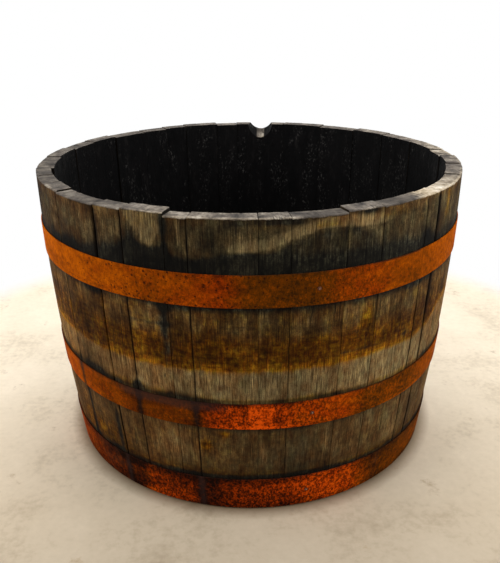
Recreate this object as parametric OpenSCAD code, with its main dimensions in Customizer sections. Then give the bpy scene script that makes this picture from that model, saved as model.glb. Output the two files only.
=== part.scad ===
// Planter made from half an oak barrel: bowed staves, a doweled head and three steel hoops.
// All sizes are millimetres. The origin is on the floor under the middle of the tub, +Z is up
// and the front of the tub faces -Y.

/* [Tub] */
// Height of the saw cut that halved the barrel, at its widest part
tub_height = 450; // [400:5:520]
// Outside diameter at the saw cut
rim_d = 660; // [630:5:760]
// Outside diameter at the floor
foot_d = 600; // [540:5:610]

/* [Staves] */
// Thickness of a stave
stave_t = 24; // [20:1:30]
// Gap between two neighbouring staves
stave_gap = 0.4; // [0.3:0.1:1.2]
// Extra gap at the two seams that have dried open
open_seam = 1.6; // [0:0.2:4]
// Bevel worn along the outer long edges of a stave
arris = 1.6; // [0.6:0.1:3]
// Bevel worn along both edges of the sawn rim
rim_wear = 1.5; // [0.5:0.1:3]
// Diameter of the bung hole
bung_d = 52; // [46:1:60]
// Height of the middle of the bung hole above the saw cut, at the outer face
bung_rise = 18; // [14:1:20]
// Slope at which the notch left of the bung hole runs down towards the inside, in degrees
bung_slope = 32; // [20:1:36]

/* [Chime and croze] */
// Height of the croze, the groove that holds the head, above the stave ends
croze_z = 38; // [34:1:50]
// Depth of the croze below the planed face
croze_depth = 5; // [3:0.5:7]
// Depth of the howel, the band planed smooth around the croze
howel_depth = 1.5; // [0.5:0.5:3]
// Height of the top of the howel above the stave ends
howel_z = 72; // [66:1:90]
// Width of the flat end that a stave stands on
chime_land = 13; // [9:0.5:16]
// Height of the bevel inside the stave ends
chime_h = 16; // [8:1:20]

/* [Head] */
// Thickness of the head boards
head_t = 25; // [20:1:28]
// Thickness of the bevelled edge that sits in the croze
head_edge = 5; // [3:0.5:6]
// Width of the bevel round the head
head_bevel = 24; // [18:1:30]
// Clearance of the bevelled edge in the croze
croze_fit = 0.3; // [0.2:0.05:0.6]
// Gap between two head boards
board_gap = 0.4; // [0.2:0.1:1]
// Diameter of the dowels between the head boards
dowel_d = 9; // [6:0.5:11]
// Length of a dowel
dowel_len = 44; // [30:1:52]
// Distance of the dowels from the middle line of the head
dowel_offset = 90; // [60:5:120]
// Clearance round a dowel
dowel_fit = 0.15; // [0.05:0.05:0.4]
// Diameter of the drain holes
drain_d = 16; // [8:1:22]
// Distance of the outer drain holes from the middle line of the head
drain_offset = 130; // [110:5:150]

/* [Hoops] */
// Thickness of the hoop steel
hoop_t = 1.6; // [1.2:0.1:2.5]
// Clearance between a hoop and the staves
hoop_fit = 0.25; // [0.2:0.05:0.5]
// Width of the bilge hoop
bilge_hoop_w = 45; // [36:1:56]
// Distance of the bilge hoop below the saw cut
bilge_hoop_drop = 71; // [50:1:90]
// Width of the quarter hoop
quarter_hoop_w = 42; // [34:1:54]
// Height of the quarter hoop above the floor
quarter_hoop_z = 149; // [110:1:170]
// Width of the head hoop
head_hoop_w = 56; // [44:1:66]
// Height of the head hoop above the floor
head_hoop_z = 2; // [1:0.5:10]
// Length over which the ends of a hoop overlap
lap_len = 66; // [56:1:90]
// Where the ends of the bilge hoop overlap, in degrees from +X
bilge_lap = 125; // [115:1:150]
// Where the ends of the quarter hoop overlap, in degrees from +X
quarter_lap = 131; // [115:1:150]
// Where the ends of the head hoop overlap, in degrees from +X
head_lap = 119; // [115:1:150]

/* [Rivets and nails] */
// Diameter of a rivet's shank
rivet_d = 6; // [4:0.5:8]
// Diameter of a rivet's head
rivet_head_d = 11; // [9:0.5:14]
// Height of a rivet's domed head
rivet_head_h = 2.6; // [1.5:0.1:4]
// Distance between the two rivets of a lap
rivet_pitch = 34; // [24:1:38]
// Diameter of a hoop nail's shank
nail_d = 3; // [2:0.2:4]
// Diameter of a hoop nail's head
nail_head_d = 5.5; // [5:0.5:9]
// Height of a hoop nail's domed head
nail_head_h = 1.2; // [0.8:0.1:2]
// Length of a hoop nail under its head
nail_len = 18; // [10:1:19]
// Radial clearance round the rivets and nails
pin_fit = 0.15; // [0.1:0.05:0.3]

/* [Hidden] */
// Widths of the staves at the saw cut, from the bung stave on, anticlockwise from above. They
// are shares of the round: together they always close the tub.
stave_w = [101, 43, 69, 46, 52, 75, 60, 66, 69, 43, 43, 52, 49, 46, 85, 46, 60,
           30, 86, 40, 72, 52, 83, 32, 39, 63, 69, 58, 52, 75, 82, 73, 79, 82];
// How far each stave stands above (+) or below (-) the saw cut, where it has crept or worn
rim_step = [0, -1, 1, 0, -1, -1.5, 0, -1, 0.5, -0.5, 0, 2, 1.5, 1.5, -0.5, 1, 3,
            -1, 0, 0, -0.5, 2, 1, 0.5, 0, -1, 0, 1, -1, 0, -0.5, 0.5, -1, 0.5];
// How much thicker (+) or thinner (-) each stave is than the rest
thick_step = [0, 1, 0, -1, 2, 3, 0, 1, 0, 2, 3, -1, 0, 1, 0, 1, 2,
              -1, 0, 1, 0, 2, 1, 0, -1, 0, 1, 0, 1, -1, 0, 1, 2, 0];
// Direction of the middle of the bung stave, in degrees from +X
bung_angle = 85.75;
// The staves whose left seam has dried open, and those that the hoop nails go into
open_staves = [15, 24];
nail_staves = [20, 31, 7];
// Widths of the head boards, as shares of the head
board_w = [76, 84, 79, 92, 80, 86, 74];

stave_count = len(stave_w);
board_count = len(board_w);
rim_r = rim_d / 2;
// The staves bow outwards on one arc, which stands upright at the wider end of the tub
widest_r = max(rim_d, foot_d) / 2;
widest_z = rim_d >= foot_d ? tub_height : 0;
bulge = abs(rim_d - foot_d) / 2;
bow_r = (tub_height * tub_height + bulge * bulge) / (2 * bulge);
bow_fn = 1440;
round_fn = 360;
eps = 0.01;
past = 2;
// Rise of the howel's run-out for each millimetre that it comes inwards
run_out_slope = 2.5;
// Spare depth behind a dowel or a nail in its hole, and the facets round small pins and holes
hole_spare = 1;
pin_fn = 32;
hole_fn = 64;

// Radius of the outside of the staves at height z
function outer_r(z) = widest_r - bow_r + sqrt(bow_r * bow_r - (widest_z - z) * (widest_z - z));
function bow_angle(z) = asin((z - widest_z) / bow_r);
function sum_to(list, i) = i <= 0 ? 0 : list[i - 1] + sum_to(list, i - 1);
function arc_deg(length, r) = length / r * 180 / PI;

stave_total = sum_to(stave_w, stave_count);
function stave_span(i) = 360 * stave_w[i] / stave_total;
function stave_start(i) = bung_angle - stave_span(0) / 2 + 360 * sum_to(stave_w, i) / stave_total;
function stave_middle(i) = stave_start(i) + stave_span(i) / 2;
function is_in(value, list) = len([for (v = list) if (v == value) v]) > 0;
function seam(i) = stave_gap + (is_in(i % stave_count, open_staves) ? open_seam : 0);

// The croze and the head's edge share one taper, so that the edge wedges into the groove.
croze_r = outer_r(croze_z) - stave_t + howel_depth + croze_depth;
head_r = croze_r - croze_fit;
head_z0 = croze_z - head_t / 2;
head_z1 = croze_z + head_t / 2;
edge_slope = (head_t - head_edge) / 2 / head_bevel;

board_total = sum_to(board_w, board_count);
function board_x(i) = -head_r + 2 * head_r * sum_to(board_w, i) / board_total;
function board_middle(i) = (board_x(i) + board_x(i + 1)) / 2;

bilge_hoop_z = tub_height - bilge_hoop_drop - bilge_hoop_w;
// Each hoop: height of its lower edge, width, direction of its lap
hoops = [[head_hoop_z, head_hoop_w, head_lap],
         [quarter_hoop_z, quarter_hoop_w, quarter_lap],
         [bilge_hoop_z, bilge_hoop_w, bilge_lap]];
function hoop_r(z) = outer_r(z) + hoop_fit;
function hoop_mid_z(h) = h[0] + h[1] / 2;
function hoop_mid_r(h) = (hoop_r(h[0]) + hoop_r(h[0] + h[1])) / 2;
function hoop_flare(h) = atan((hoop_r(h[0] + h[1]) - hoop_r(h[0])) / h[1]);
// Clearance between the two layers of a lap, the gap at the buried end, the length over which
// the upper layer steps up, and how far each of its edges draws in for each millimetre of lift
lap_fit = 0.1;
lap_gap = 3;
lap_step = 7;
lap_taper = 0.2;

function two_digits(n) = n < 10 ? str("0", n) : str(n);
function stave_name(i) = i == 0 ? "bung_stave" : str("stave_", two_digits(i + 1));
function board_name(i) = str("head_board_", i + 1);

// ---- staves ----

// A disc whose edge is the bow of the barrel, moved in by a depth below the outside
module bow_disc(depth) {
    translate([widest_r - bow_r, widest_z]) circle(r = bow_r - depth, $fn = bow_fn);
}

// The croze: a groove that narrows to the edge of the head, with its clearance
module croze_cut() {
    mouth = croze_depth + howel_depth + past;
    bottom = head_edge / 2 + croze_fit;
    opening = bottom + mouth * edge_slope;
    polygon([[croze_r, croze_z - bottom], [croze_r, croze_z + bottom],
             [croze_r - mouth, croze_z + opening], [croze_r - mouth, croze_z - opening]]);
}

// The howel: the inside planed to one face round the croze, whatever each stave's thickness.
// Above it the cut runs out at a slope.
module howel_cut() {
    foot = outer_r(0) - stave_t + howel_depth;
    top = outer_r(howel_z) - stave_t + howel_depth;
    run_out = howel_depth + max(thick_step) + past;
    run_out_z = howel_z + run_out_slope * run_out;
    polygon([[foot - stave_t, -past], [foot, -past], [foot, 0], [top, howel_z],
             [top - run_out, run_out_z], [foot - stave_t, run_out_z]]);
}

// The bevel inside the chime, and the worn outer corner of the stave end
module chime_cut() {
    land = outer_r(0) - chime_land;
    face = outer_r(chime_h) - stave_t;
    polygon([[land, -past], [land, 0], [face, chime_h], [face - stave_t, chime_h],
             [face - stave_t, -past]]);
    translate([outer_r(0), 0]) rotate(45) square(arris * sqrt(2), center = true);
}

module stave_section(thickness, top) {
    difference() {
        intersection() {
            bow_disc(0);
            translate([widest_r - bulge - 2 * stave_t, 0])
                square([bulge + 2 * stave_t + past, top]);
        }
        bow_disc(thickness);
        howel_cut();
        croze_cut();
        chime_cut();
        translate([rim_r, top]) rotate(45) square(rim_wear * sqrt(2), center = true);
        translate([rim_r - thickness, top]) rotate(45) square(rim_wear * sqrt(2), center = true);
    }
}

// A three-sided bar bent along the outer long edge of a stave; side is 1 where the wood lies
// anticlockwise of the edge and -1 where it lies clockwise
module arris_cutter(side) {
    spare = 0.5;
    from = bow_angle(0) - spare;
    sweep = bow_angle(tub_height) + spare - from;
    translate([widest_r - bow_r, 0, widest_z]) rotate([90, 0, 0]) rotate([0, 0, from])
        rotate_extrude(angle = sweep, $fn = bow_fn)
            polygon([[bow_r - arris - past, side * past], [bow_r + past, -side * (arris + past)],
                     [bow_r + past, side * past]]);
}

// The saw cut went through the bung hole, so the lower part of it is left as a notch in the
// rim, worn down towards the inside.
module bung_hole() {
    rotate([0, 0, bung_angle]) translate([rim_r, 0, tub_height + bung_rise])
        rotate([0, 90 - bung_slope, 0])
            cylinder(d = bung_d, h = bung_d + 4 * stave_t, center = true, $fn = hole_fn);
}

module stave(i) {
    from = stave_start(i) + arc_deg(seam(i), rim_r) / 2;
    to = stave_start(i + 1) - arc_deg(seam(i + 1), rim_r) / 2;
    oak = ["#8a6c48", "#7d6244", "#94764f", "#6f5a42"];
    color(oak[i % len(oak)]) difference() {
        rotate([0, 0, from]) difference() {
            rotate_extrude(angle = to - from, $fn = round_fn)
                stave_section(stave_t + thick_step[i], tub_height + rim_step[i]);
            arris_cutter(1);
            rotate([0, 0, to - from]) arris_cutter(-1);
        }
        if (i == 0) bung_hole();
        if (is_in(i, nail_staves)) for (h = hoops) at_hoop(h, stave_middle(i))
            translate([0, 0, -nail_len - hole_spare])
                cylinder(d = nail_d + 2 * pin_fit, h = nail_len + past, $fn = pin_fn);
    }
}

// ---- head ----

module head_blank() {
    half_edge = head_edge / 2;
    rotate_extrude($fn = round_fn)
        polygon([[0, head_z0], [head_r - head_bevel, head_z0], [head_r, croze_z - half_edge],
                 [head_r, croze_z + half_edge], [head_r - head_bevel, head_z1], [0, head_z1]]);
}

// Two dowels across each seam between the boards
module dowels(diameter, length) {
    for (i = [1 : board_count - 1]) for (side = [-1, 1])
        translate([board_x(i), side * dowel_offset, croze_z]) rotate([0, 90, 0])
            cylinder(d = diameter, h = length, center = true, $fn = hole_fn);
}

// One drain hole in the middle board and two in the boards next to the outer ones
module drain_holes() {
    middle = floor(board_count / 2);
    spots = [[middle, 0], [1, -1], [1, 1], [board_count - 2, -1], [board_count - 2, 1]];
    for (s = spots) translate([board_middle(s[0]), s[1] * drain_offset, head_z0 - past])
        cylinder(d = drain_d, h = head_t + 2 * past, $fn = hole_fn);
}

module head_board(i) {
    x0 = board_x(i) + (i == 0 ? -past : board_gap / 2);
    x1 = board_x(i + 1) - (i == board_count - 1 ? -past : board_gap / 2);
    color(i % 2 == 0 ? "#4a3f33" : "#54483a") difference() {
        intersection() {
            head_blank();
            translate([x0, -rim_r, 0]) cube([x1 - x0, rim_d, head_z1 + past]);
        }
        dowels(dowel_d + 2 * dowel_fit, dowel_len + hole_spare);
        drain_holes();
    }
}

module head_dowels() {
    color("#b48a55") dowels(dowel_d, dowel_len);
}

// ---- hoops ----

// The section of a hoop's steel, which leans with the staves, lifted off them by a height.
// A lifted layer is a hair narrower, because the strip tapers towards its outer end.
module strip_section(h, lift) {
    z0 = h[0] + lift * lap_taper;
    z1 = h[0] + h[1] - lift * lap_taper;
    r0 = hoop_r(z0) + lift;
    r1 = hoop_r(z1) + lift;
    polygon([[r0, z0], [r0 + hoop_t, z0], [r1 + hoop_t, z1], [r1, z1]]);
}

module strip(h, from, to, lift) {
    rotate([0, 0, from]) rotate_extrude(angle = to - from, $fn = round_fn) strip_section(h, lift);
}

// Puts its children on a hoop, at an angle round it, with +Z out through the steel from the
// hoop's inner face
module at_hoop(h, angle) {
    rotate([0, 0, angle]) translate([hoop_mid_r(h), 0, hoop_mid_z(h)])
        rotate([0, 90 + hoop_flare(h), 0]) children();
}

function lap_span(h) = arc_deg(lap_len, hoop_mid_r(h));
function rivet_angles(h) = [for (side = [-1, 1]) h[2] + side * arc_deg(rivet_pitch, hoop_mid_r(h)) / 2];

// The strip goes once round to a gap just short of its first end, where it steps up and laps
// over that end, and two rivets hold it
module hoop(h) {
    first_end = h[2] - lap_span(h) / 2;
    gap = arc_deg(lap_gap, hoop_mid_r(h));
    step = arc_deg(lap_step, hoop_mid_r(h));
    lift = hoop_t + lap_fit;
    color("#8c4a23") difference() {
        union() {
            difference() {
                rotate_extrude($fn = round_fn) strip_section(h, 0);
                rotate([0, 0, first_end - gap / 2])
                    translate([widest_r - bulge - past, -lap_gap / 2, 0])
                        cube([bulge + 2 * (hoop_t + past), lap_gap, tub_height]);
            }
            strip(h, first_end - gap - step, first_end - gap / 2, lift / 2);
            strip(h, first_end - gap, first_end + lap_span(h), lift);
        }
        for (a = rivet_angles(h)) at_hoop(h, a) translate([0, 0, -past])
            cylinder(d = rivet_d + 2 * pin_fit, h = 2 * hoop_t + 3 * past, $fn = pin_fn);
        for (s = nail_staves) at_hoop(h, stave_middle(s)) translate([0, 0, -past])
            cylinder(d = nail_d + 2 * pin_fit, h = hoop_t + 2 * past, $fn = pin_fn);
    }
}

module head_hoop() { hoop(hoops[0]); }
module quarter_hoop() { hoop(hoops[1]); }
module bilge_hoop() { hoop(hoops[2]); }

// A low dome with a flat underside at z = 0
module dome(diameter, height) {
    ball = (diameter * diameter / 4 + height * height) / (2 * height);
    intersection() {
        translate([0, 0, height - ball]) sphere(r = ball, $fn = 96);
        cylinder(d = 2 * diameter, h = 2 * height, $fn = hole_fn);
    }
}

// A shank that starts at a depth and ends in a domed head whose underside is at a height
module headed_pin(shank_d, from, seat, head_d, head_h) {
    translate([0, 0, from]) cylinder(d = shank_d, h = seat - from + eps, $fn = pin_fn);
    translate([0, 0, seat]) dome(head_d, head_h);
}

module hoop_rivets() {
    seat = 2 * hoop_t + 2 * lap_fit;
    color("#6d3a1f") for (h = hoops) for (a = rivet_angles(h)) at_hoop(h, a)
        headed_pin(rivet_d, lap_fit, seat, rivet_head_d, rivet_head_h);
}

module hoop_nails() {
    seat = hoop_t + lap_fit;
    color("#7a4a2a") for (h = hoops) for (s = nail_staves) at_hoop(h, stave_middle(s))
        headed_pin(nail_d, seat - nail_len, seat, nail_head_d, nail_head_h);
}

for (i = [0 : stave_count - 1]) stave(i);
for (i = [0 : board_count - 1]) head_board(i);
head_dowels();
head_hoop();
quarter_hoop();
bilge_hoop();
hoop_rivets();
hoop_nails();
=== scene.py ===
"""A weathered half-barrel planter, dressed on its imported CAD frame. Lengths in the working are
millimetres and become metres in make_mesh(). Angles called th are degrees round the tub from the
front (-Y) towards +X; z is the height above the floor."""
import math

import bpy
import numpy as np
from mathutils import Matrix, Vector


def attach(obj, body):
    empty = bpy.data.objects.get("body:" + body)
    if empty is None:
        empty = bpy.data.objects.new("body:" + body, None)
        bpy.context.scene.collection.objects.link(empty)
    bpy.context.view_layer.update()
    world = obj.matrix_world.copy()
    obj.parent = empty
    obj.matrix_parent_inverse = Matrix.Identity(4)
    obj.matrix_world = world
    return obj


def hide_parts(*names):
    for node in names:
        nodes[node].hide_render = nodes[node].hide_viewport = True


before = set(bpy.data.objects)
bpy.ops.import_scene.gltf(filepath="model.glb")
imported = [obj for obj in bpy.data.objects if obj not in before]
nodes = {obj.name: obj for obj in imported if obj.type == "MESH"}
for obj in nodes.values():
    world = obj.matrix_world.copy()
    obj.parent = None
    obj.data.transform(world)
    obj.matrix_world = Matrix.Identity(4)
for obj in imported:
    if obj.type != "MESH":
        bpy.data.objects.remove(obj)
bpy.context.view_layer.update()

MM = 0.001

# ---- sizes, as in the CAD model ----

TUB_H, RIM_R, FOOT_R = 450.0, 330.0, 300.0
STAVE_T, SEAM, OPEN_SEAM = 24.0, 0.4, 1.6
BOW_R = (TUB_H ** 2 + (RIM_R - FOOT_R) ** 2) / (2 * (RIM_R - FOOT_R))
CROZE_Z, CROZE_DEPTH, HOWEL_DEPTH, HOWEL_Z = 38.0, 5.0, 1.5, 72.0
# Half the croze's width at its floor and at its mouth
CROZE_FLOOR, CROZE_MOUTH = 2.8, 2.8 + CROZE_DEPTH * 10 / 24
CHIME_LAND, CHIME_H = 13.0, 16.0
BUNG_R, BUNG_RISE, BUNG_SLOPE, BUNG_ANGLE = 26.0, 18.0, 32.0, 85.75
STAVE_W = [101, 43, 69, 46, 52, 75, 60, 66, 69, 43, 43, 52, 49, 46, 85, 46, 60,
           30, 86, 40, 72, 52, 83, 32, 39, 63, 69, 58, 52, 75, 82, 73, 79, 82]
RIM_STEP = [0, -1, 1, 0, -1, -1.5, 0, -1, 0.5, -0.5, 0, 2, 1.5, 1.5, -0.5, 1, 3,
            -1, 0, 0, -0.5, 2, 1, 0.5, 0, -1, 0, 1, -1, 0, -0.5, 0.5, -1, 0.5]
THICK_STEP = [0, 1, 0, -1, 2, 3, 0, 1, 0, 2, 3, -1, 0, 1, 0, 1, 2,
              -1, 0, 1, 0, 2, 1, 0, -1, 0, 1, 0, 1, -1, 0, 1, 2, 0]
OPEN_STAVES = (15, 24)
HOOP_T, HOOP_FIT, LAP_FIT, LAP_LEN, LAP_GAP, LAP_STEP = 1.6, 0.25, 0.1, 66.0, 3.0, 7.0
# Each hoop's lower edge, its width, the angle of its lap and the first of its noise seeds
HOOPS = {"head_hoop": (2.0, 56.0, 119.0, 51), "quarter_hoop": (149.0, 42.0, 131.0, 61),
         "bilge_hoop": (334.0, 45.0, 125.0, 71)}
# How dark and worn each stave's left seam is
SEAM_DIRT = [.7, .5, .8, .4, .7, .5, .9, .6, .4, .8, .6, .5, .6, .85, .85, 1, 1,
             .5, 1, .25, .5, .45, .65, .95, 1, .5, .7, .5, .8, .4, .9, .5, .7, .6]
# Where dark drips cross the hoops, in degrees
DRIPS = {"head_hoop": (-37, -13.3, 90, 126, -112), "quarter_hoop": (-51.4, -28.8, -13.3, 112, 152, -92)}
# How light each stave's outside is, as a factor on its colour
STAVE_TONE = [.95, .9, 1.05, .93, .98, 1.02, .92, 1.06, .96, .9, 1.0, 1.04, 1.1, 1.1, .92, .98, 1.09,
              1.03, 1.08, 1.0, 1.04, 1.16, 1.17, 1.03, 1.05, 1.08, .96, 1.08, 1.0, .92, 1.04, .96,
              1.02, .94]
# The same for the boards of the head
BOARD_TONE = [.8, 1.15, .88, 1.2, .82, 1.05, .9]


def outer_r(z):
    return RIM_R - BOW_R + np.sqrt(BOW_R ** 2 - (TUB_H - z) ** 2)


# ---- repeatable noise ----

def lattice_hash(ix, iy, iz, seed):
    h = ix * 73856093 ^ iy * 19349663 ^ iz * 83492791 ^ seed * 2654435
    h = (h ^ (h >> 13)) * 1274126177 & 0xFFFFFFFF
    h = (h ^ (h >> 16)) * 668265263 & 0xFFFFFFFF
    return ((h ^ (h >> 15)) & 0xFFFFFF) / 0xFFFFFF


def noise(x, y, z, seed=0):
    """Smooth value noise from -1 to 1."""
    p = [np.asarray(c, float) + 1000.5 for c in np.broadcast_arrays(x, y, z)]
    cell = [np.floor(c).astype(np.int64) for c in p]
    f = [c - i for c, i in zip(p, cell)]
    u = [t * t * (3 - 2 * t) for t in f]
    total = 0
    for dx, dy, dz in np.ndindex(2, 2, 2):
        w = (u[0] if dx else 1 - u[0]) * (u[1] if dy else 1 - u[1]) * (u[2] if dz else 1 - u[2])
        total = total + w * lattice_hash(cell[0] + dx, cell[1] + dy, cell[2] + dz, seed)
    return 2 * total - 1


def fbm(x, y, z, seed=0, octaves=3):
    total, size = 0, 0
    for o in range(octaves):
        total = total + noise(x * 2 ** o, y * 2 ** o, z * 2 ** o, seed + o) / 2 ** o
        size += 1 / 2 ** o
    return total / size


def smooth(x, lo, hi):
    t = np.clip((x - lo) / (hi - lo), 0, 1)
    return t * t * (3 - 2 * t)


def hump(x, middle, half):
    return np.exp(-((x - middle) / half) ** 2)


def wrap(angle):
    return (angle + 180) % 360 - 180


def along(th, points):
    """A value that runs round the tub through {angle: value} points, closed at the back."""
    a, v = list(points), list(points.values())
    return np.interp(th, [a[-1] - 360, *a, a[0] + 360], [v[-1], *v, v[0]])


def round_noise(th, z, across, up, seed):
    """Noise that closes round the tub; across and up are the sizes of its features."""
    r, a = RIM_R, np.radians(th)
    return fbm(r * np.cos(a) / across, r * np.sin(a) / across, z / up, seed)


# ---- meshes ----

def make_mesh(name, co, faces, material, attributes):
    """A smooth object. An attribute is three axes in millimetres or the four channels of a colour."""
    mesh = bpy.data.meshes.new(name)
    mesh.from_pydata((np.asarray(co) * MM).tolist(), [], np.asarray(faces).tolist())
    for key, channels in attributes.items():
        values = np.stack(np.broadcast_arrays(*channels), -1)
        if len(channels) == 3:
            layer, field = mesh.attributes.new(key, "FLOAT_VECTOR", "POINT"), "vector"
            values = values * MM
        else:
            layer, field = mesh.attributes.new(key, "FLOAT_COLOR", "POINT"), "color"
        layer.data.foreach_set(field, values.astype(np.float32).ravel())
    mesh.polygons.foreach_set("use_smooth", [True] * len(mesh.polygons))
    mesh.materials.append(material)
    mesh.update()
    obj = bpy.data.objects.new(name, mesh)
    bpy.context.scene.collection.objects.link(obj)
    return obj


def box_lattice(s_lines, d_lines, z_lines):
    """The surface of a box as a grid: three coordinates for each point, and outward quads."""
    shape = (len(s_lines), len(d_lines), len(z_lines))
    on_surface = np.ones(shape, bool)
    on_surface[1:-1, 1:-1, 1:-1] = False
    index = -np.ones(shape, int)
    index[on_surface] = np.arange(on_surface.sum())
    i, j, k = np.nonzero(on_surface)
    quads = []
    for grid in (index[:, 0, :], index[:, -1, :].T, index[0].T, index[-1], index[:, :, 0].T,
                 index[:, :, -1]):
        corners = [grid[:-1, :-1], grid[1:, :-1], grid[1:, 1:], grid[:-1, 1:]]
        quads.append(np.stack(corners, -1).reshape(-1, 4))
    return s_lines[i], d_lines[j], z_lines[k], np.concatenate(quads)


def spread(length, pitch, ends=(0, 0.5, 1.2, 2.2, 3.6)):
    """Grid lines from 0 to the length, closer together near both ends."""
    ends = np.array(ends)
    a, b = ends[-1] + pitch * 0.7, length - ends[-1] - pitch * 0.7
    middle = np.linspace(a, b, max(2, int(round((b - a) / pitch)) + 1))
    return np.concatenate([ends, middle, (length - ends)[::-1]])


def rounded(p, sizes, w):
    """Points on the surface of a box from 0 to its sizes, with its edges rounded to radius w."""
    q = [np.clip(c, w, size - w) for c, size in zip(p, sizes)]
    v = [a - b for a, b in zip(p, q)]
    length = np.maximum(np.sqrt(v[0] ** 2 + v[1] ** 2 + v[2] ** 2), 1e-9)
    return [b + w * c / length for b, c in zip(q, v)]


# ---- how the stains lie on the staves ----

# Curves round the tub, as {angle: value} points
CURVES = {
    # Above the bilge hoop: how strong the black water stain is, how high it stands, how soft its
    # edge is, and how dark the wood is besides
    "damp": {-180: .55, -75: .4, -56: .5, -40: .95, -34: 1.15, -20: 1.15, -15: .95, -10: .94, 2: .86,
             30: .78, 44: .76, 52: .55, 75: .4, 140: .6},
    "damp top": {-180: 402, -60: 391, -50: 391, -40: 394, -34: 404, -27: 408, -20: 406, -12: 400, -6: 402,
                 0: 407, 4: 408, 6.5: 413, 9: 421, 12: 427, 16: 430, 22: 430, 30: 423, 44: 415, 60: 400,
                 120: 405},
    "damp blur": {-180: 1.2, -60: 1.2, -45: 1.6, -38: 2.4, -33: 2.6, -27: 1.6, -20: .9, -14: 2.4, -8: 3,
                  -4: 1.2, 0: .6, 24: .6, 31: 2.8, 60: 3},
    "upper dark": {-180: .1, -32: .05, -14: .22, -9: .4, -2: .38, 3: .12, 18: .05, 60: .05},
    # The pale wavy tide mark over that stain: how high it lies and how clear it is
    "streak top": {-180: 424, -120: 436, -70: 428, -30: 412, -6: 410, 0: 414, 4: 416, 8: 425, 12: 434,
                   16: 438, 22: 439, 30: 434, 60: 430, 120: 418},
    "streak": {-180: .4, -60: .3, -38: .1, -10: 0, -6: .1, -3: .55, 3: .8, 14: 1, 26: .9, 31: .3, 36: .1,
               60: .1, 120: .5},
    # Dark and pale wood just under the rim, and where the upper zone is less warm
    "rim dark": {-6: 0, 1: .6, 4: 1, 10: 1, 15: .2, 18: 0},
    "rim pale": {18: 0, 24: .8, 30: .5, 34: .15, 44: .2, 50: 0},
    "less warm": {-180: .1, -60: .2, -44: .5, -34: .8, 30: 1, 44: .6, 52: .1},
    # Between the upper hoops: the brown tide's lower edge, its ochre fringe and three water lines
    "tide edge": {-180: 246, -100: 250, -62: 246, -36: 239, -12: 241, 2: 241, 20: 243, 40: 245, 50: 245,
                  54: 253, 58: 267, 68: 270, 110: 250},
    "fringe": {-180: .8, -50: .6, -20: .85, 2: .75, 14: .85, 27: .92, 32: .6, 44: .66, 60: .8},
    "low line": {-180: .3, -30: .1, -12: .8, 20: .9, 45: .8, 60: .2},
    "high line": {-180: .3, -18: 1, -8: 1, 0: .1, 60: .2},
    "mid line": {-180: .2, 16: .1, 24: .9, 44: .9, 60: .3},
    # How high dirt lies on the quarter hoop, and how dark the band under the bilge hoop is, painted shade
    # from the hoop together with dirt
    "dirt height": {-180: 8, -62: 10, -45: 13, -18: 11, -4: 6, 8: 6, 20: 9, 30: 6, 40: 4, 48: 6, 56: 12},
    "shade and dirt under bilge": {-180: .6, -60: .4, -50: .7, -30: .7, -20: 1, 8: 1, 20: .8, 30: .9, 50: 1, 60: .6},
    # Under the quarter hoop
    "lower dark": {-180: .25, -60: 0, -30: .05, -8: .25, 12: .42, 30: .2, 42: .05, 60: .15, 120: .3},
    # The wood is greyer at the front and browner to the left
    "grey": {-180: .4, -75: 0, -45: 0, -30: .22, -8: .45, 0: .62, 18: .5, 40: .6, 48: .35, 60: .25,
             110: .35},
    # How light the staves are above the bilge hoop, and how worn and pale the rim's edge is
    "upper tone": {-180: 1, -75: .6, -57: .66, -51: .92, -40: 1, -30: .92, -20: .9, -3: 1, 5: 1.04,
                   20: 1.05, 33: 1.04, 44: 1.04, 50: .9, 60: .9},
    "rim worn": {-180: .3, -75: .1, -66: 0, -55: .45, -44: .05, -32: .2, -22: .55, -8: .5, 2: .5, 9: .45,
                 15: .05, 20: .05, 26: .45, 36: .05, 41: .5, 45: 1, 50: 1, 55: .8, 64: .65, 77: .3,
                 97: .7, 120: .4}}

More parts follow.
